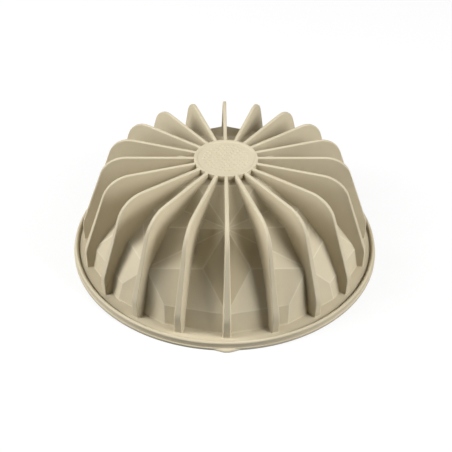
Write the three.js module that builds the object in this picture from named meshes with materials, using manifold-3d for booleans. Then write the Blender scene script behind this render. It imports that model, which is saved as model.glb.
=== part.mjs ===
// Silicone cake mould, resting on its rim with the mouth down.
// Millimetres, +Z up. The origin is the centre of the mouth plane and the front is towards -Y.
// A faceted bowl with five-fold symmetry is stiffened by radial fins that run from a
// central standing disc to a flat flange with a bead, a lip and one small grip tab.

import * as THREE from 'three';
import { mergeVertices } from 'three/addons/utils/BufferGeometryUtils.js';
import Module from 'manifold-3d';

const wasm = await Module();
wasm.setup();

// Driving dimensions
const MOULD_HEIGHT = 78;
const RIM_DIAMETER = 230;
const RIM_WIDTH = 10.5;
const WALL = 3;
const SEAM = 0.3;

const HUB_DIAMETER = 46;
const HUB_STAND = 5;

const FLANGE_THICKNESS = 4.5;
const BEAD_WIDTH = 3.2;
const BEAD_STAND = 2;
const BEAD_SETBACK = 0.8;
const LIP_HEIGHT = 2.2;
const LIP_CHAMFER = 0.4;

const FIN_COUNT = 20;
const FIN_TOP_THICKNESS = 2.5;
const FIN_FOOT_THICKNESS = 5.4;
const FIN_SETBACK = 7.5;
const FIN_LEAN = 21.6;
const FIN_FOOT_HEIGHT = 19;
const FIN_SHOULDER_RADIUS = 21;
const FIN_FOOT_RADIUS = 18;

const TAB_WIDTH = 18;
const TAB_TIP_WIDTH = 3.6;
const TAB_REACH = 2;

// Smoothness of round pieces
const ROUND_SEGMENTS = 80;
const ARC_SEGMENTS = 6;

// Facet pattern. A sector is mirrored about its own middle.
// angle: degrees from the sector's middle fin. out: way from the hub's edge to the mouth.
// down: way from the crown to the mouth plane.
const SECTORS = 5;
const SECTOR_ANGLE = 360 / SECTORS;
const HALF_SECTOR = SECTOR_ANGLE / 2;
const FACETS = {
  crownCorner: { angle: HALF_SECTOR, out: 0.135, down: 0 },
  star: { angle: 0, out: 0.494, down: 0.13 },
  ridgeTop: { angle: HALF_SECTOR, out: 0.36, down: 0.133 },
  ridgeFoot: { angle: HALF_SECTOR, out: 0.579, down: 0.18 },
  diamondSide: { angle: 11.1, out: 0.751, down: 0.384 },
  arrowTip: { angle: HALF_SECTOR, out: 0.861, down: 0.467 },
  diamondFoot: { angle: 0, out: 0.95, down: 0.73 },
  arrowSide: { angle: 25.4, out: 0.942, down: 0.742 },
  mouthMiddle: { angle: 0, out: 1, down: 1 },
  mouthSide: { angle: SECTOR_ANGLE / 3, out: 1, down: 1 },
};

// Sizes that follow from the driving dimensions
const rimRadius = RIM_DIAMETER / 2;
const mouthRadius = rimRadius - RIM_WIDTH;
const hubRadius = HUB_DIAMETER / 2;
const crownHeight = MOULD_HEIGHT - HUB_STAND;
const beadInnerRadius = rimRadius - BEAD_WIDTH;
const finFootRadius = rimRadius - FIN_SETBACK;

const silicone = new THREE.MeshStandardMaterial({ color: 0xd5c8ae, roughness: 0.55, metalness: 0 });

// A direction in plan, turned from the front (-Y) towards +X
function bearing(degrees) {
  const angle = THREE.MathUtils.degToRad(degrees);
  return new THREE.Vector3(Math.sin(angle), -Math.cos(angle), 0);
}

function toSolid(geometry) {
  const bare = geometry.clone();
  bare.deleteAttribute('normal');
  bare.deleteAttribute('uv');
  const merged = mergeVertices(bare);
  const mesh = new wasm.Mesh({
    numProp: 3,
    vertProperties: new Float32Array(merged.attributes.position.array),
    triVerts: new Uint32Array(merged.index.array),
  });
  return new wasm.Manifold(mesh);
}

function toGeometry(solid) {
  const mesh = solid.getMesh();
  const geometry = new THREE.BufferGeometry();
  geometry.setAttribute('position', new THREE.BufferAttribute(mesh.vertProperties, 3));
  geometry.setIndex(new THREE.BufferAttribute(mesh.triVerts, 1));
  return geometry;
}

function piece(name, geometry) {
  const mesh = new THREE.Mesh(geometry, silicone);
  mesh.name = name;
  return mesh;
}

// A ring or disc turned about Z from a closed profile of [radius, height] pairs
function turned(profile) {
  const points = profile.map(([radius, height]) => new THREE.Vector2(radius, height));
  points.push(points[0].clone());
  return toGeometry(toSolid(new THREE.LatheGeometry(points, ROUND_SEGMENTS).rotateX(Math.PI / 2)));
}

function facetCorner(name, sector, side) {
  const { angle, out, down } = FACETS[name];
  const corner = bearing(sector * SECTOR_ANGLE + side * angle);
  corner.multiplyScalar(THREE.MathUtils.lerp(hubRadius, mouthRadius, out));
  corner.z = THREE.MathUtils.lerp(crownHeight, 0, down);
  return corner;
}

// The flat facets of one half sector, each a convex loop of corners
function halfSectorFacets(sector, side) {
  const at = (name) => facetCorner(name, sector, side);
  const mirrored = (name) => facetCorner(name, sector, -side);
  const across = (name) => facetCorner(name, sector + side, -side);
  const crown = new THREE.Vector3(0, 0, crownHeight);
  const mouth = new THREE.Vector3(0, 0, 0);
  const own = [
    [at('crownCorner'), at('star'), at('ridgeTop')],
    [at('star'), at('ridgeFoot'), at('ridgeTop')],
    [at('star'), at('arrowTip'), at('ridgeFoot')],
    [at('star'), at('diamondSide'), at('arrowTip')],
    [at('star'), at('diamondFoot'), at('diamondSide')],
    [at('diamondSide'), at('diamondFoot'), at('arrowSide'), at('arrowTip')],
    [at('diamondFoot'), at('mouthMiddle'), at('mouthSide'), at('arrowSide')],
    [at('arrowTip'), at('arrowSide'), at('mouthSide')],
    [mouth, at('mouthSide'), at('mouthMiddle')],
  ];
  const shared = [
    [crown, mirrored('crownCorner'), at('crownCorner')],
    [mirrored('crownCorner'), at('star'), at('crownCorner')],
    [at('arrowTip'), at('mouthSide'), across('mouthSide')],
    [mouth, across('mouthSide'), at('mouthSide')],
  ];
  return side > 0 ? [...own, ...shared] : own.map((loop) => loop.reverse());
}

function facetTriangles() {
  const positions = [];
  for (let sector = 0; sector < SECTORS; sector += 1) {
    for (const side of [1, -1]) {
      for (const loop of halfSectorFacets(sector, side)) {
        for (let i = 1; i + 1 < loop.length; i += 1) {
          positions.push(...loop[0].toArray(), ...loop[i].toArray(), ...loop[i + 1].toArray());
        }
      }
    }
  }
  const geometry = new THREE.BufferGeometry();
  geometry.setAttribute('position', new THREE.Float32BufferAttribute(positions, 3));
  return mergeVertices(geometry, 1e-3);
}

// The closed faceted dome, with every corner moved out by an offset, or in by a negative one.
// Corners in the mouth plane move level, and drop by the same amount so that cuts run clear.
function domeGeometry(offset) {
  const geometry = facetTriangles();
  const position = geometry.attributes.position;
  const index = geometry.index.array;
  const normals = Array.from({ length: position.count }, () => []);
  const triangle = new THREE.Triangle();
  for (let i = 0; i < index.length; i += 3) {
    const corners = [index[i], index[i + 1], index[i + 2]];
    triangle.setFromAttributeAndIndices(position, ...corners);
    const normal = triangle.getNormal(new THREE.Vector3());
    if (normal.z > -0.5) {
      corners.forEach((corner) => normals[corner].push(normal));
    }
  }
  const point = new THREE.Vector3();
  for (let i = 0; i < position.count; i += 1) {
    point.fromBufferAttribute(position, i);
    const inMouthPlane = point.z < SEAM;
    const direction = new THREE.Vector3();
    normals[i].forEach((normal) => direction.add(normal));
    if (inMouthPlane) {
      direction.z = 0;
    }
    direction.normalize();
    const facing = normals[i].reduce((sum, normal) => sum + normal.dot(direction), 0) / normals[i].length;
    if (normals[i].length > 0) {
      point.addScaledVector(direction, offset / facing);
    }
    if (inMouthPlane) {
      point.z -= Math.abs(offset);
    }
    position.setXYZ(i, point.x, point.y, point.z);
  }
  return geometry;
}

function cavityShell() {
  const outside = toSolid(domeGeometry(0));
  const cavity = toSolid(domeGeometry(-WALL));
  return piece('cavity_shell', toGeometry(outside.subtract(cavity)));
}

function hubDisc() {
  const base = crownHeight + SEAM;
  const disc = new THREE.CylinderGeometry(hubRadius, hubRadius, MOULD_HEIGHT - base, ROUND_SEGMENTS);
  disc.rotateX(Math.PI / 2);
  const mesh = piece('hub_disc', toGeometry(toSolid(disc)));
  mesh.position.z = (MOULD_HEIGHT + base) / 2;
  return mesh;
}

// Side view of a fin: x is the radius and y the height
function finOutline() {
  const innerRadius = hubRadius + SEAM;
  const footHeight = FLANGE_THICKNESS + SEAM;
  const turn = Math.atan2(MOULD_HEIGHT - FIN_FOOT_HEIGHT, FIN_LEAN);
  const shoulderCut = FIN_SHOULDER_RADIUS * Math.tan(turn / 2);
  const footCut = FIN_FOOT_RADIUS * Math.tan((Math.PI / 2 - turn) / 2);
  const shoulderCentre = finFootRadius - FIN_LEAN - shoulderCut;
  const outline = new THREE.Shape();
  outline.moveTo(innerRadius, footHeight);
  outline.lineTo(finFootRadius, footHeight);
  outline.absarc(
    finFootRadius - FIN_FOOT_RADIUS,
    FIN_FOOT_HEIGHT - footCut,
    FIN_FOOT_RADIUS,
    0,
    Math.PI / 2 - turn,
  );
  outline.absarc(
    shoulderCentre,
    MOULD_HEIGHT - FIN_SHOULDER_RADIUS,
    FIN_SHOULDER_RADIUS,
    Math.PI / 2 - turn,
    Math.PI / 2,
  );
  outline.lineTo(innerRadius, MOULD_HEIGHT);
  outline.closePath();
  return outline;
}

// A fin at the front, thinner towards its top, before the dome is cut from it
function finBlank() {
  const settings = { depth: 1, bevelEnabled: false, curveSegments: ARC_SEGMENTS };
  const geometry = new THREE.ExtrudeGeometry(finOutline(), settings);
  const position = geometry.attributes.position;
  for (let i = 0; i < position.count; i += 1) {
    const radius = position.getX(i);
    const height = position.getY(i);
    const rise = (height - FLANGE_THICKNESS) / (MOULD_HEIGHT - FLANGE_THICKNESS);
    const thickness = THREE.MathUtils.lerp(FIN_FOOT_THICKNESS, FIN_TOP_THICKNESS, rise);
    position.setXYZ(i, (0.5 - position.getZ(i)) * thickness, -radius, height);
  }
  return geometry;
}

function fins() {
  const blank = toSolid(finBlank());
  const dome = domeGeometry(SEAM);
  const group = new THREE.Group();
  for (let i = 0; i < FIN_COUNT; i += 1) {
    const angle = (i * 2 * Math.PI) / FIN_COUNT;
    const cutter = toSolid(dome.clone().rotateZ(-angle));
    const fin = piece(`fin_${String(i + 1).padStart(2, '0')}`, toGeometry(blank.subtract(cutter)));
    fin.rotation.z = angle;
    group.add(fin);
  }
  return group;
}

// The flat ring round the mouth, with a hole that follows the corners of the dome's foot
function rimFlange() {
  const outline = new THREE.Shape();
  outline.absarc(0, 0, beadInnerRadius - SEAM, 0, 2 * Math.PI);
  const corners = SECTORS * 3;
  const holeRadius = mouthRadius + SEAM / Math.cos(Math.PI / corners);
  const hole = Array.from({ length: corners }, (_, i) => {
    const corner = bearing((-i * 360) / corners).multiplyScalar(holeRadius);
    return new THREE.Vector2(corner.x, corner.y);
  });
  outline.holes.push(new THREE.Path(hole));
  const settings = { depth: FLANGE_THICKNESS, bevelEnabled: false, curveSegments: ROUND_SEGMENTS };
  return piece('rim_flange', toGeometry(toSolid(new THREE.ExtrudeGeometry(outline, settings))));
}

// The raised bead along the outer edge, with a half-round top
function rimBead() {
  const outerRadius = rimRadius - BEAD_SETBACK;
  const base = LIP_HEIGHT + SEAM;
  const round = (outerRadius - beadInnerRadius) / 2;
  const shoulder = FLANGE_THICKNESS + BEAD_STAND - round;
  const crest = Array.from({ length: ARC_SEGMENTS + 1 }, (_, i) => {
    const angle = (i * Math.PI) / ARC_SEGMENTS;
    return [beadInnerRadius + round + round * Math.cos(angle), shoulder + round * Math.sin(angle)];
  });
  return piece('rim_bead', turned([[beadInnerRadius, base], [outerRadius, base], ...crest]));
}

// The lip under the bead, down to the mouth plane
function rimLip() {
  const profile = [
    [beadInnerRadius, 0],
    [rimRadius - LIP_CHAMFER, 0],
    [rimRadius, LIP_CHAMFER],
    [rimRadius, LIP_HEIGHT - LIP_CHAMFER],
    [rimRadius - LIP_CHAMFER, LIP_HEIGHT],
    [beadInnerRadius, LIP_HEIGHT],
  ];
  return piece('rim_lip', turned(profile));
}

// The small blunt tab at the front of the lip, as thick as the lip
function gripTab() {
  const root = -(rimRadius + SEAM);
  const tip = -(rimRadius + TAB_REACH);
  const outline = new THREE.Shape();
  outline.moveTo(-TAB_WIDTH / 2, root);
  outline.lineTo(-TAB_TIP_WIDTH / 2, tip);
  outline.lineTo(TAB_TIP_WIDTH / 2, tip);
  outline.lineTo(TAB_WIDTH / 2, root);
  outline.closePath();
  const settings = { depth: LIP_HEIGHT, bevelEnabled: false };
  return piece('grip_tab', toGeometry(toSolid(new THREE.ExtrudeGeometry(outline, settings))));
}

const mould = new THREE.Group();
mould.name = 'silicone_cake_mould';
mould.add(cavityShell(), hubDisc(), fins(), rimFlange(), rimBead(), rimLip(), gripTab());

export default mould;
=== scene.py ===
"""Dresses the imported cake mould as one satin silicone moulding, seen as in a studio photograph.

Every length is in metres. The mould rests on its rim with the mouth down and its front towards -Y.
"""

import math

import bmesh
import bpy
from mathutils import Matrix, Vector
from mathutils.bvhtree import BVHTree


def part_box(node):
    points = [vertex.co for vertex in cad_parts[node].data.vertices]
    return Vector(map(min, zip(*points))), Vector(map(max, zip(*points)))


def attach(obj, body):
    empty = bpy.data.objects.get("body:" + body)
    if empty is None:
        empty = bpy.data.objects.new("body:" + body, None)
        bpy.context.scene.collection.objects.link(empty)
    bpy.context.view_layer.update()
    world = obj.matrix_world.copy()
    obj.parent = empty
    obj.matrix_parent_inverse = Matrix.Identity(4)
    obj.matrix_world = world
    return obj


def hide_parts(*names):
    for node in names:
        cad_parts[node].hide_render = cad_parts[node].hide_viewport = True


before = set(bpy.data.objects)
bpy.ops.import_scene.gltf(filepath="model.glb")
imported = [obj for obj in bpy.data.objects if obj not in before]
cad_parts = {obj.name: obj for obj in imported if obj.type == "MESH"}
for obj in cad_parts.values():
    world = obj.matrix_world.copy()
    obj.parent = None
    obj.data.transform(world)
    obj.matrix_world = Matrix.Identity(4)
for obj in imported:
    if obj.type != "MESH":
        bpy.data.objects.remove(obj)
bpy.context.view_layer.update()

MM = 0.001
BODY = "root"

# Sizes that the frame gives
RIM_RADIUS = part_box("rim_lip")[1].x
LIP_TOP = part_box("rim_lip")[1].z
BEAD_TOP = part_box("rim_bead")[1].z
BEAD_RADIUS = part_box("rim_bead")[1].x
FLANGE_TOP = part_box("rim_flange")[1].z
FLANGE_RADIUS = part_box("rim_flange")[1].x
HUB_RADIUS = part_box("hub_disc")[1].x
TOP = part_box("hub_disc")[1].z
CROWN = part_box("cavity_shell")[1].z
MOUTH_RADIUS = -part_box("cavity_shell")[0].y
FIN_FOOT_RADIUS = -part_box("fin_01")[0].y
FIN_NODES = sorted(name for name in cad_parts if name.startswith("fin_"))
TAB_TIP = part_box("grip_tab")[0].y
TAB_HALF_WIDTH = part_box("grip_tab")[1].x

# Bowl: wall, rounding of the edges between facets, the bevel's round profile, the least angle of an
# edge that is rounded, and how near corners of facets count as one
WALL = 3.0 * MM
FACET_ROUNDING = 0.7 * MM
FACET_ROUNDING_STEPS = 3
ROUND_PROFILE = 0.5
LEAST_EDGE_ANGLE = math.radians(3.0)
MERGE_DISTANCE = 0.01 * MM

# Facet pattern: degrees from the sector's middle fin, way out from the hub's edge to the mouth,
# and way down from the crown to the mouth plane
SECTORS = 5
SECTOR_ANGLE = 360 / SECTORS
HALF_SECTOR = SECTOR_ANGLE / 2
FACETS = {
    "crown_corner": (HALF_SECTOR, 0.135, 0),
    "star": (0, 0.494, 0.13),
    "ridge_top": (HALF_SECTOR, 0.36, 0.133),
    "ridge_foot": (HALF_SECTOR, 0.579, 0.18),
    "diamond_side": (11.1, 0.751, 0.384),
    "arrow_tip": (HALF_SECTOR, 0.861, 0.467),
    "diamond_foot": (0, 0.95, 0.73),
    "arrow_side": (25.4, 0.942, 0.742),
    "mouth_middle": (0, 1, 1),
    "mouth_side": (SECTOR_ANGLE / 3, 1, 1),
}
HALF_SECTOR_FACETS = [
    ("crown_corner", "star", "ridge_top"),
    ("star", "ridge_foot", "ridge_top"),
    ("star", "arrow_tip", "ridge_foot"),
    ("star", "diamond_side", "arrow_tip"),
    ("star", "diamond_foot", "diamond_side"),
    ("diamond_side", "diamond_foot", "arrow_side", "arrow_tip"),
    ("diamond_foot", "mouth_middle", "mouth_side", "arrow_side"),
    ("arrow_tip", "arrow_side", "mouth_side"),
]

# Fins
FIN_TOP_THICKNESS = 2.5 * MM
FIN_FOOT_THICKNESS = 5.4 * MM
FIN_LEAN = 21.6 * MM
FIN_FOOT_HEIGHT = 19.0 * MM
FIN_SHOULDER_RADIUS = 21.0 * MM
FIN_BEND_RADIUS = 18.0 * MM
FIN_EDGE_ROUNDING = 0.75 * MM
FIN_FILLET = 0.4 * MM
FIN_SINK = 0.6 * MM
FIN_HUB_OVERLAP = 0.3 * MM
FIN_STEP_ANGLE = math.radians(1.5)
ARC_STEPS = 12
ROUND_STEPS = 4

# Standing disc
HUB_EDGE_ROUNDING = 0.4 * MM
HUB_BORDER = 2.4 * MM
HUB_RELIEF = 0.6 * MM
HUB_SINK = 0.5 * MM
PIP_PITCH = 3.2 * MM
PIP_RADIUS = 1.1 * MM
PIP_RINGS = 5
FIRST_RING_PIPS = 6
HUB_SEGMENTS = 300
HUB_FACE_STEP = 0.35 * MM

# Rim: RIM_INSIDE is its reach into the bowl's wall, and RIM_INSIDE_RISE lifts its underside there
RIM_SEGMENTS = 300
RIM_FILLET = 0.8 * MM
RIM_INSIDE = 1.0 * MM
RIM_INSIDE_RISE = 0.4 * MM
CHANNEL_WIDTH = 1.1 * MM
CHANNEL_DEPTH = 1.0 * MM
CHANNEL_CHAMFER = CHANNEL_WIDTH / 4
LIP_ROUNDING = 0.35 * MM

# Grip tab: its top lies under the lip's and its underside over the lip's, so that no faces coincide
TAB_TIP_WIDTH = 3.6 * MM
TAB_ROUNDING = 1.5 * MM
TAB_OVERLAP = 2.6 * MM
TAB_LIFT = 0.05 * MM
TAB_DROP = 0.3 * MM

# Silicone: the two tones of its mottle, the noise at which each is reached, and the gloss
DARKER_TONE = (0.615, 0.541, 0.387, 1)
LIGHTER_TONE = (0.654, 0.581, 0.424, 1)
DARKER_AT = 0.3
LIGHTER_AT = 0.7
LEAST_ROUGHNESS = 0.56
MOST_ROUGHNESS = 0.68
SPECULAR_LEVEL = 0.3

# Silicone: (scale, detail) of the noise in its colour, its gloss and its matt grain, and the grain's
# height and strength
MOTTLE = (35, 3)
BLOOM = (90, 2)
GRAIN = (2600, 2)
GRAIN_HEIGHT = 0.05 * MM
GRAIN_STRENGTH = 0.12

# Silicone: painted shade in hollows, where shade falls: how far a hollow looks for walls near it, the
# openness at which the painted shade is darkest and gone, and its strength where it is darkest
HOLLOW_REACH = 25 * MM
DARKEST_OPENNESS = 0.15
CLEAR_OPENNESS = 0.75
PAINTED_HOLLOW_SHADE = 0.7

# Silicone: the painted highlight on the facets' rounded edges: the mark's name, its colour, and how much of
# it they take
EDGE_HIGHLIGHT_MARK = "painted_edge_highlight"
EDGE_HIGHLIGHT_COLOUR = (0.9, 0.85, 0.7, 1)
EDGE_HIGHLIGHT_STRENGTH = 0.25

# Camera, fitted to the photograph's frame
SENSOR_MILLIMETRES = 36
FRAME_PIXELS = 452
FOCAL_PIXELS = 880.9
CAMERA_BACK = 0.5214
CAMERA_HEIGHT = 0.4376
CAMERA_PITCH = math.radians(39.05)
CAMERA_YAW = math.radians(0.08)
CAMERA_ROLL = math.radians(0.75)
CAMERA_TURN = math.radians(-1.12)

# Floor: its size, a hairline under the rim, so that the two faces don't coincide, the share of its white
# that is its own glow to the camera, and the shade that lights the mould
FLOOR_SIZE = 8
FLOOR_GAP = 0.02 * MM
FLOOR_GLOW = 0.8
FLOOR_BOUNCE = 0.05

# Lamps: degrees round from the front towards the right, degrees up, size and power in watts
LAMP_DISTANCE = 1.3
LAMPS = {
    "right_low": (55, 25, 0.4, 5.5),
    "right_key": (62, 36, 0.3, 4),
    "right_side": (75, 36, 0.3, 3.5),
    "right_high": (80, 55, 0.4, 3),
    "left_front": (310, 20, 0.4, 2),
    "left_low": (275, 20, 0.4, 5.5),
    "left_key": (270, 36, 0.3, 4),
    "left_side": (285, 36, 0.3, 2.5),
    "left_high": (275, 52, 0.4, 3.5),
    "back_left": (210, 35, 0.3, 1.5),
    "back_high": (180, 52, 0.3, 1.5),
}


def bearing(degrees):
    """A direction in plan, turned from the front (-Y) towards +X."""
    angle = math.radians(degrees)
    return Vector((math.sin(angle), -math.cos(angle), 0))


def tangent(degrees):
    """The direction in plan a quarter turn on from a bearing."""
    return bearing(degrees + 90)


def standing_point(direction, radius, height):
    """The point at a radius along a direction in plan, and at a height."""
    return direction * radius + Vector((0, 0, height))


def quarter_arc():
    """Angles from 0 to a quarter turn."""
    return [math.pi / 2 * i / ROUND_STEPS for i in range(ROUND_STEPS + 1)]


def make_piece(name, bm, material, *nodes):
    """Turns a bmesh into a smooth piece that stands for CAD nodes."""
    bmesh.ops.recalc_face_normals(bm, faces=bm.faces)
    for face in bm.faces:
        face.smooth = True
    mesh = bpy.data.meshes.new(name)
    bm.to_mesh(mesh)
    bm.free()
    piece = bpy.data.objects.new(name, mesh)
    bpy.context.scene.collection.objects.link(piece)
    mesh.materials.append(material)
    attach(piece, BODY)
    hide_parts(*nodes)
    return piece


def weight_normals(piece):
    """Keeps flat faces flat beside rounded edges."""
    modifier = piece.modifiers.new("weighted_normals", "WEIGHTED_NORMAL")
    modifier.mode = "FACE_AREA"
    modifier.keep_sharp = True


def add_tube(bm, rings, closed):
    """Joins rings of points, each a loop, into a tube with flat ends, or into a closed ring."""
    loops = [[bm.verts.new(point) for point in ring] for ring in rings]
    count = len(loops[0])
    following = loops[1:] + loops[:1] if closed else loops[1:]
    for first, second in zip(loops, following):
        for i in range(count):
            j = (i + 1) % count
            bm.faces.new((first[i], first[j], second[j], second[i]))
    if not closed:
        for loop in (loops[0], loops[-1]):
            for edge in bm.faces.new(loop).edges:
                edge.smooth = False


# Bowl


def facet_corner(name, sector, side):
    """A corner of the facet pattern, on one side (1 or -1) of a sector's middle."""
    angle, out, down = FACETS[name]
    radius = HUB_RADIUS + (MOUTH_RADIUS - HUB_RADIUS) * out
    return standing_point(bearing(sector * SECTOR_ANGLE + side * angle), radius, CROWN * (1 - down))


def facet_loops():
    """The corners of every facet of the bowl's outside, open at the mouth."""
    loops = []
    crown = []
    for sector in range(SECTORS):
        for side in (1, -1):
            for names in HALF_SECTOR_FACETS:
                loops.append([facet_corner(name, sector, side) for name in names])
        corners = [facet_corner("crown_corner", sector, side) for side in (-1, 1)]
        mouth = [facet_corner("mouth_side", sector, 1), facet_corner("mouth_side", sector + 1, -1)]
        loops.append([corners[0], facet_corner("star", sector, 1), corners[1]])
        loops.append([facet_corner("arrow_tip", sector, 1), *mouth])
        crown.append(corners[1])
    loops.append(crown)
    return loops


def bowl_skin():
    """The bowl's outer skin, with its facets as flat faces that share corners."""
    bm = bmesh.new()
    for loop in facet_loops():
        bm.faces.new([bm.verts.new(corner) for corner in loop])
    bmesh.ops.remove_doubles(bm, verts=bm.verts, dist=MERGE_DISTANCE)
    bmesh.ops.recalc_face_normals(bm, faces=bm.faces)
    if sum(face.normal.z * face.calc_area() for face in bm.faces) < 0:
        bmesh.ops.reverse_faces(bm, faces=bm.faces)
    return bm


def inner_corner(vert):
    """A corner of the outer skin, moved in by the wall. Corners at the mouth stay level."""
    normals = [face.normal for face in vert.link_faces]
    direction = sum(normals, Vector())
    if vert.is_boundary:
        direction.z = 0
    direction.normalize()
    facing = sum(normal.dot(direction) for normal in normals) / len(normals)
    return vert.co - direction * (WALL / facing)


def bowl_shell(material):
    """The bowl with its wall, its facets' edges rounded and marked for a painted highlight."""
    bm = bowl_skin()
    highlight_mark = bm.verts.layers.float.new(EDGE_HIGHLIGHT_MARK)
    outer_faces = list(bm.faces)
    inner_corners = {vert: inner_corner(vert) for vert in bm.verts}
    inside = {vert: bm.verts.new(corner) for vert, corner in inner_corners.items()}
    mouth = [edge for edge in bm.edges if edge.is_boundary]
    for face in outer_faces:
        bm.faces.new([inside[vert] for vert in reversed(face.verts)])
    for edge in mouth:
        first, second = edge.verts
        bm.faces.new((first, second, inside[second], inside[first]))
    bmesh.ops.recalc_face_normals(bm, faces=bm.faces)
    sharp = [edge for edge in bm.edges if edge.calc_face_angle(0) > LEAST_EDGE_ANGLE]
    rounded = bmesh.ops.bevel(
        bm,
        geom=sharp,
        offset=FACET_ROUNDING,
        offset_type="OFFSET",
        segments=FACET_ROUNDING_STEPS,
        profile=ROUND_PROFILE,
        affect="EDGES",
        clamp_overlap=True,
    )
    rounding = set(rounded["faces"])
    # Marks the corners of the rounded edges for a painted highlight
    for vert in bm.verts:
        if rounding.issuperset(vert.link_faces):
            vert[highlight_mark] = EDGE_HIGHLIGHT_STRENGTH
    piece = make_piece("bowl_shell", bm, material, "cavity_shell")
    weight_normals(piece)


def skin_tree():
    """The bowl's outside, for finding where fins and rim meet it."""
    bm = bowl_skin()
    tree = BVHTree.FromBMesh(bm)
    bm.free()
    return tree


# Fins


def fin_outline():
    """Side view of a fin's free edge, from the flange to the disc, as (radius, height) pairs."""
    turn = math.atan2(TOP - FIN_FOOT_HEIGHT, FIN_LEAN)
    lean = math.pi / 2 - turn
    shoulder_radius = FIN_FOOT_RADIUS - FIN_LEAN - FIN_SHOULDER_RADIUS * math.tan(turn / 2)
    bend_height = FIN_FOOT_HEIGHT - FIN_BEND_RADIUS * math.tan(lean / 2)
    points = [(FIN_FOOT_RADIUS + FIN_FILLET, FLANGE_TOP - FIN_SINK)]
    for angle in quarter_arc():
        radius = FIN_FOOT_RADIUS + FIN_FILLET - FIN_FILLET * math.sin(angle)
        points.append((radius, FLANGE_TOP + FIN_FILLET - FIN_FILLET * math.cos(angle)))
    for i in range(ARC_STEPS + 1):
        angle = lean * i / ARC_STEPS
        radius = FIN_FOOT_RADIUS - FIN_BEND_RADIUS + FIN_BEND_RADIUS * math.cos(angle)
        points.append((radius, bend_height + FIN_BEND_RADIUS * math.sin(angle)))
    for i in range(ARC_STEPS + 1):
        angle = lean + turn * i / ARC_STEPS
        radius = shoulder_radius + FIN_SHOULDER_RADIUS * math.cos(angle)
        points.append((radius, TOP - FIN_SHOULDER_RADIUS + FIN_SHOULDER_RADIUS * math.sin(angle)))
    points.append((HUB_RADIUS - FIN_HUB_OVERLAP, TOP))
    return points


def fin_stations():
    """(angle, distance) of the free edge, seen from a point on the flange's level under the disc's edge."""
    centre = Vector((HUB_RADIUS - FIN_HUB_OVERLAP, FLANGE_TOP))
    stations = []
    outline = [Vector(point) - centre for point in fin_outline()]
    for first, second in zip(outline, outline[1:]):
        start = math.atan2(first.y, first.x)
        end = math.atan2(second.y, second.x)
        steps = max(1, math.ceil((end - start) / FIN_STEP_ANGLE))
        for i in range(steps):
            angle = start + (end - start) * i / steps
            ray = Vector((math.cos(angle), math.sin(angle)))
            before = first.x * ray.y - first.y * ray.x
            after = second.x * ray.y - second.y * ray.x
            stations.append((angle, first.lerp(second, before / (before - after)).length))
    stations.append((math.pi / 2, outline[-1].length))
    return stations


def half_thickness(height):
    """Half of a fin's thickness, with its draft and the fillet at the flange."""
    rise = (height - FLANGE_TOP) / (TOP - FLANGE_TOP)
    half = (FIN_FOOT_THICKNESS + (FIN_TOP_THICKNESS - FIN_FOOT_THICKNESS) * rise) / 2
    gap = 1 - min(max(height - FLANGE_TOP, 0) / FIN_FILLET, 1)
    return half + FIN_FILLET * (1 - math.sqrt(1 - gap * gap))


def fin_section(tree, degrees, angle, reach):
    """The loop of points round a fin at one station, from one root over the free edge to the other."""
    out, along = bearing(degrees), tangent(degrees)
    ray = standing_point(out, math.cos(angle), math.sin(angle))
    centre = standing_point(out, HUB_RADIUS - FIN_HUB_OVERLAP, FLANGE_TOP)

    def half_at(distance):
        return half_thickness(FLANGE_TOP + distance * math.sin(angle))

    def side(sign):
        wide = half_at(reach) + FIN_FILLET
        start = centre + along * (sign * wide) + ray * (2 * reach)
        hit = tree.ray_cast(start, -ray)[0]
        root = (hit - centre).dot(ray)
        points = [(root - FIN_SINK, half_at(root) + FIN_FILLET)]
        for turn in quarter_arc():
            distance = root + FIN_FILLET - FIN_FILLET * math.cos(turn)
            points.append((distance, half_at(distance) + FIN_FILLET - FIN_FILLET * math.sin(turn)))
        for turn in quarter_arc():
            distance = reach - FIN_EDGE_ROUNDING + FIN_EDGE_ROUNDING * math.sin(turn)
            half = half_at(distance) - FIN_EDGE_ROUNDING + FIN_EDGE_ROUNDING * math.cos(turn)
            points.append((distance, half))
        return [centre + ray * distance + along * (sign * half) for distance, half in points]

    return side(-1) + side(1)[::-1]


def fin(tree, index, node, material):
    """One fin, counted round from the front."""
    degrees = index * 360 / len(FIN_NODES)
    bm = bmesh.new()
    add_tube(bm, [fin_section(tree, degrees, *station) for station in fin_stations()], closed=False)
    piece = make_piece("stiffening_" + node, bm, material, node)
    weight_normals(piece)


# Standing disc


def smooth_step(value):
    """A smooth rise from 0 to 1."""
    value = min(max(value, 0), 1)
    return value * value * (3 - 2 * value)


def hub_face_height(radius, angle):
    """Height of the disc's face: a low field of small round pips inside a plain border."""
    field_radius = HUB_RADIUS - HUB_BORDER
    relief = smooth_step((radius - field_radius) / HUB_EDGE_ROUNDING)
    ring = round(radius / PIP_PITCH)
    if 1 <= ring <= PIP_RINGS:
        spacing = 2 * math.pi / (FIRST_RING_PIPS * ring)
        off = angle - spacing * round(angle / spacing)
        distance = math.hypot(radius - ring * PIP_PITCH, radius * off)
        relief = max(relief, smooth_step(1 - distance / PIP_RADIUS))
    return TOP - HUB_RELIEF * (1 - relief)


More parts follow.
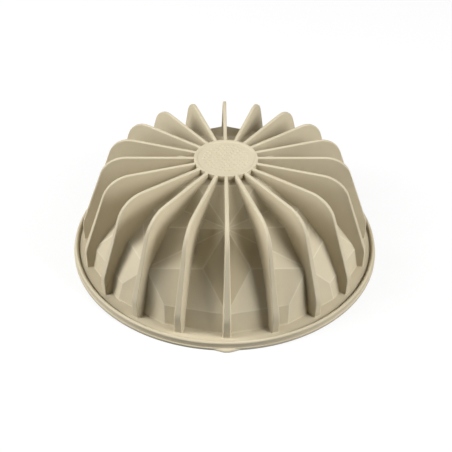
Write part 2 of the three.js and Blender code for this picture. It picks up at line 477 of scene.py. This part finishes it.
def standing_disc(material):
    """The disc as columns of points, each from the middle out over the edge and down to the crown."""
    flat_radius = HUB_RADIUS - HUB_EDGE_ROUNDING
    rings = math.ceil(flat_radius / HUB_FACE_STEP)
    bm = bmesh.new()
    centre = bm.verts.new((0, 0, hub_face_height(0, 0)))
    columns = []
    for i in range(HUB_SEGMENTS):
        angle = 2 * math.pi * i / HUB_SEGMENTS
        radii = [flat_radius * (k + 1) / rings for k in range(rings)]
        profile = [(radius, hub_face_height(radius, angle)) for radius in radii]
        for turn in quarter_arc()[1:]:
            radius = flat_radius + HUB_EDGE_ROUNDING * math.sin(turn)
            profile.append((radius, TOP - HUB_EDGE_ROUNDING + HUB_EDGE_ROUNDING * math.cos(turn)))
        for turn in quarter_arc():
            radius = HUB_RADIUS + FIN_FILLET - FIN_FILLET * math.cos(turn)
            profile.append((radius, CROWN + FIN_FILLET - FIN_FILLET * math.sin(turn)))
        profile.append((HUB_RADIUS + FIN_FILLET, CROWN - HUB_SINK))
        direction = Vector((math.cos(angle), math.sin(angle), 0))
        columns.append([bm.verts.new(standing_point(direction, *point)) for point in profile])
    for first, second in zip(columns, columns[1:] + columns[:1]):
        bm.faces.new((centre, first[0], second[0]))
        for k in range(len(first) - 1):
            bm.faces.new((first[k], first[k + 1], second[k + 1], second[k]))
    bm.faces.new([column[-1] for column in columns])
    make_piece("standing_disc", bm, material, "hub_disc")


# Rim


def rim_profile(wall_radius, foot_radius):
    """Section of the rim as (radius, height), from the wall out over bead and lip and back under."""
    bead_inner = FLANGE_RADIUS
    channel_inner = bead_inner - CHANNEL_WIDTH
    bead_half = (BEAD_RADIUS - bead_inner) / 2
    bead_centre = bead_inner + bead_half
    bead_shoulder = BEAD_TOP - bead_half
    points = [(wall_radius - RIM_INSIDE, FLANGE_TOP + RIM_FILLET)]
    for turn in quarter_arc():
        radius = wall_radius + RIM_FILLET - RIM_FILLET * math.cos(turn)
        points.append((radius, FLANGE_TOP + RIM_FILLET - RIM_FILLET * math.sin(turn)))
    points += [
        (channel_inner - CHANNEL_CHAMFER, FLANGE_TOP),
        (channel_inner, FLANGE_TOP - CHANNEL_CHAMFER),
        (channel_inner, FLANGE_TOP - CHANNEL_DEPTH),
        (bead_inner, FLANGE_TOP - CHANNEL_DEPTH),
    ]
    for i in range(ARC_STEPS + 1):
        turn = math.pi * i / ARC_STEPS
        radius = bead_centre - bead_half * math.cos(turn)
        points.append((radius, bead_shoulder + bead_half * math.sin(turn)))
    points += [
        (BEAD_RADIUS, LIP_TOP),
        (RIM_RADIUS - LIP_ROUNDING, LIP_TOP),
        (RIM_RADIUS, LIP_TOP - LIP_ROUNDING),
        (RIM_RADIUS, LIP_ROUNDING),
        (RIM_RADIUS - LIP_ROUNDING, 0),
        (foot_radius, 0),
        (foot_radius - RIM_INSIDE, RIM_INSIDE_RISE),
    ]
    return points


def wall_radius_at(tree, degrees, height):
    """Radius of the bowl's outside at a bearing and height."""
    out = bearing(degrees)
    hit = tree.ray_cast(standing_point(out, 2 * RIM_RADIUS, height), -out)[0]
    return Vector((hit.x, hit.y)).length


def rim(tree, material):
    """Flange, bead and lip as one ring that follows the bowl's wall."""
    rings = []
    for i in range(RIM_SEGMENTS):
        degrees = 360 * i / RIM_SEGMENTS
        wall = wall_radius_at(tree, degrees, FLANGE_TOP + RIM_FILLET)
        foot = wall_radius_at(tree, degrees, LIP_ROUNDING)
        out = bearing(degrees)
        rings.append([standing_point(out, *point) for point in rim_profile(wall, foot)])
    bm = bmesh.new()
    add_tube(bm, rings, closed=True)
    piece = make_piece("rim", bm, material, "rim_flange", "rim_bead", "rim_lip")
    weight_normals(piece)


def grip_tab(material):
    """A low blunt wedge on the lip, with its upper edge rounded over."""
    root = -(RIM_RADIUS - TAB_OVERLAP)
    sections = [(LIP_ROUNDING, TAB_LIFT), (0, LIP_ROUNDING)]
    for turn in quarter_arc():
        inset = TAB_ROUNDING * (1 - math.cos(turn))
        sections.append((inset, LIP_TOP - TAB_DROP - TAB_ROUNDING + TAB_ROUNDING * math.sin(turn)))
    rings = []
    for inset, height in sections:
        side = -(RIM_RADIUS - LIP_ROUNDING) + inset
        tip = TAB_TIP + inset
        corners = [
            (-TAB_HALF_WIDTH, root),
            (-TAB_HALF_WIDTH, side),
            (-TAB_TIP_WIDTH / 2, tip),
            (TAB_TIP_WIDTH / 2, tip),
            (TAB_HALF_WIDTH, side),
            (TAB_HALF_WIDTH, root),
        ]
        rings.append([(x, y, height) for x, y in corners])
    bm = bmesh.new()
    add_tube(bm, rings, closed=False)
    piece = make_piece("grip_tab_skin", bm, material, "grip_tab")
    weight_normals(piece)


# Material


def silicone_material():
    """Satin beige silicone with a soft mottle and a fine grain, with painted shade in hollows and a painted
    highlight on rounded edges.
    """
    material = bpy.data.materials.new("satin_silicone")
    material.use_nodes = True
    nodes, links = material.node_tree.nodes, material.node_tree.links
    shader = nodes["Principled BSDF"]
    place = nodes.new("ShaderNodeTexCoord")

    def noise(scale, detail):
        node = nodes.new("ShaderNodeTexNoise")
        node.inputs["Scale"].default_value = scale
        node.inputs["Detail"].default_value = detail
        links.new(place.outputs["Object"], node.inputs["Vector"])
        return node

    mottle = noise(*MOTTLE)
    colour = nodes.new("ShaderNodeValToRGB")
    darker, lighter = colour.color_ramp.elements
    darker.position = DARKER_AT
    darker.color = DARKER_TONE
    lighter.position = LIGHTER_AT
    lighter.color = LIGHTER_TONE
    links.new(mottle.outputs["Fac"], colour.inputs["Fac"])

    # Painted shade: the colour is darkened where walls are near, in hollows and between fins, where shade
    # falls
    openness = nodes.new("ShaderNodeAmbientOcclusion")
    openness.inputs["Distance"].default_value = HOLLOW_REACH
    hollow_painted_shade = nodes.new("ShaderNodeMapRange")
    hollow_painted_shade.inputs["From Min"].default_value = DARKEST_OPENNESS
    hollow_painted_shade.inputs["From Max"].default_value = CLEAR_OPENNESS
    hollow_painted_shade.inputs["To Min"].default_value = PAINTED_HOLLOW_SHADE
    links.new(openness.outputs["AO"], hollow_painted_shade.inputs["Value"])
    shade = nodes.new("ShaderNodeMix")
    shade.data_type = "RGBA"
    shade.blend_type = "MULTIPLY"
    shade.inputs["Factor"].default_value = 1.0
    links.new(colour.outputs["Color"], shade.inputs["A"])
    links.new(hollow_painted_shade.outputs["Result"], shade.inputs["B"])

    # Painted highlight: the rounded edges are mixed towards a pale colour, standing in for the light they
    # catch
    edge = nodes.new("ShaderNodeAttribute")
    edge.attribute_name = EDGE_HIGHLIGHT_MARK
    painted_highlight = nodes.new("ShaderNodeMix")
    painted_highlight.data_type = "RGBA"
    painted_highlight.inputs["B"].default_value = EDGE_HIGHLIGHT_COLOUR
    links.new(edge.outputs["Fac"], painted_highlight.inputs["Factor"])
    links.new(shade.outputs["Result"], painted_highlight.inputs["A"])
    links.new(painted_highlight.outputs["Result"], shader.inputs["Base Color"])

    bloom = noise(*BLOOM)
    roughness = nodes.new("ShaderNodeMapRange")
    roughness.inputs["To Min"].default_value = LEAST_ROUGHNESS
    roughness.inputs["To Max"].default_value = MOST_ROUGHNESS
    links.new(bloom.outputs["Fac"], roughness.inputs["Value"])
    links.new(roughness.outputs["Result"], shader.inputs["Roughness"])

    grain = noise(*GRAIN)
    bump = nodes.new("ShaderNodeBump")
    bump.inputs["Strength"].default_value = GRAIN_STRENGTH
    bump.inputs["Distance"].default_value = GRAIN_HEIGHT
    links.new(grain.outputs["Fac"], bump.inputs["Height"])
    links.new(bump.outputs["Normal"], shader.inputs["Normal"])

    shader.inputs["Specular IOR Level"].default_value = SPECULAR_LEVEL
    return material


# Stage, light and camera


def stage():
    """A floor that looks white to the camera, keeps a soft shadow, and throws little light back up."""
    bpy.ops.mesh.primitive_plane_add(size=FLOOR_SIZE, location=(0, 0, -FLOOR_GAP))
    floor = bpy.context.object
    floor.name = "floor"
    material = bpy.data.materials.new("white_floor")
    material.use_nodes = True
    nodes, links = material.node_tree.nodes, material.node_tree.links
    nodes.remove(nodes["Principled BSDF"])

    def shader(kind, shade):
        node = nodes.new(kind)
        node.inputs["Color"].default_value = (shade, shade, shade, 1)
        return node

    def mixed(share, first, second):
        node = nodes.new("ShaderNodeMixShader")
        node.inputs["Fac"].default_value = share
        links.new(first.outputs[0], node.inputs[1])
        links.new(second.outputs[0], node.inputs[2])
        return node

    seen = mixed(FLOOR_GLOW, shader("ShaderNodeBsdfDiffuse", 1.0), shader("ShaderNodeEmission", 1.0))
    surface = mixed(1.0, shader("ShaderNodeBsdfDiffuse", FLOOR_BOUNCE), seen)
    path = nodes.new("ShaderNodeLightPath")
    links.new(path.outputs["Is Camera Ray"], surface.inputs["Fac"])
    links.new(surface.outputs[0], nodes["Material Output"].inputs["Surface"])
    floor.data.materials.append(material)


def white_world():
    """A world that is pure white to the camera and gives no light of its own."""
    world = bpy.data.worlds.new("studio")
    bpy.context.scene.world = world
    world.use_nodes = True
    nodes, links = world.node_tree.nodes, world.node_tree.links
    unlit = nodes["Background"]
    unlit.inputs["Strength"].default_value = 0
    white = nodes.new("ShaderNodeBackground")
    white.inputs["Color"].default_value = (1, 1, 1, 1)
    white.inputs["Strength"].default_value = 1
    path = nodes.new("ShaderNodeLightPath")
    mix = nodes.new("ShaderNodeMixShader")
    links.new(path.outputs["Is Camera Ray"], mix.inputs["Fac"])
    links.new(unlit.outputs["Background"], mix.inputs[1])
    links.new(white.outputs["Background"], mix.inputs[2])
    links.new(mix.outputs["Shader"], nodes["World Output"].inputs["Surface"])


def soft_box(name, turn, rise, size, power):
    """A square lamp that faces the mould, placed by degrees round from the front and degrees up."""
    lamp = bpy.data.lights.new(name, "AREA")
    lamp.size = size
    lamp.energy = power
    holder = bpy.data.objects.new(name, lamp)
    up = math.radians(rise)
    holder.location = LAMP_DISTANCE * standing_point(bearing(turn), math.cos(up), math.sin(up))
    aim = Vector((0, 0, TOP / 2)) - holder.location
    holder.rotation_mode = "QUATERNION"
    holder.rotation_quaternion = aim.to_track_quat("-Z", "Y")
    bpy.context.scene.collection.objects.link(holder)


def camera():
    """The camera of the photograph, turned round the mould's axis last."""
    lens = bpy.data.cameras.new("camera")
    lens.sensor_fit = "HORIZONTAL"
    lens.sensor_width = SENSOR_MILLIMETRES
    lens.lens = SENSOR_MILLIMETRES * FOCAL_PIXELS / FRAME_PIXELS
    holder = bpy.data.objects.new("camera", lens)
    holder.matrix_world = (
        Matrix.Rotation(CAMERA_TURN, 4, "Z")
        @ Matrix.Translation((0, -CAMERA_BACK, CAMERA_HEIGHT))
        @ Matrix.Rotation(-CAMERA_YAW, 4, "Z")
        @ Matrix.Rotation(math.pi / 2 - CAMERA_PITCH, 4, "X")
        @ Matrix.Rotation(CAMERA_ROLL, 4, "Z")
    )
    bpy.context.scene.collection.objects.link(holder)
    bpy.context.scene.camera = holder


camera()
stage()
white_world()
for lamp_name, settings in LAMPS.items():
    soft_box(lamp_name, *settings)

silicone = silicone_material()
outside = skin_tree()
bowl_shell(silicone)
standing_disc(silicone)
for number, node_name in enumerate(FIN_NODES):
    fin(outside, number, node_name, silicone)
rim(outside, silicone)
grip_tab(silicone)

bpy.context.scene.view_settings.view_transform = "Standard"
bpy.context.view_layer.update()
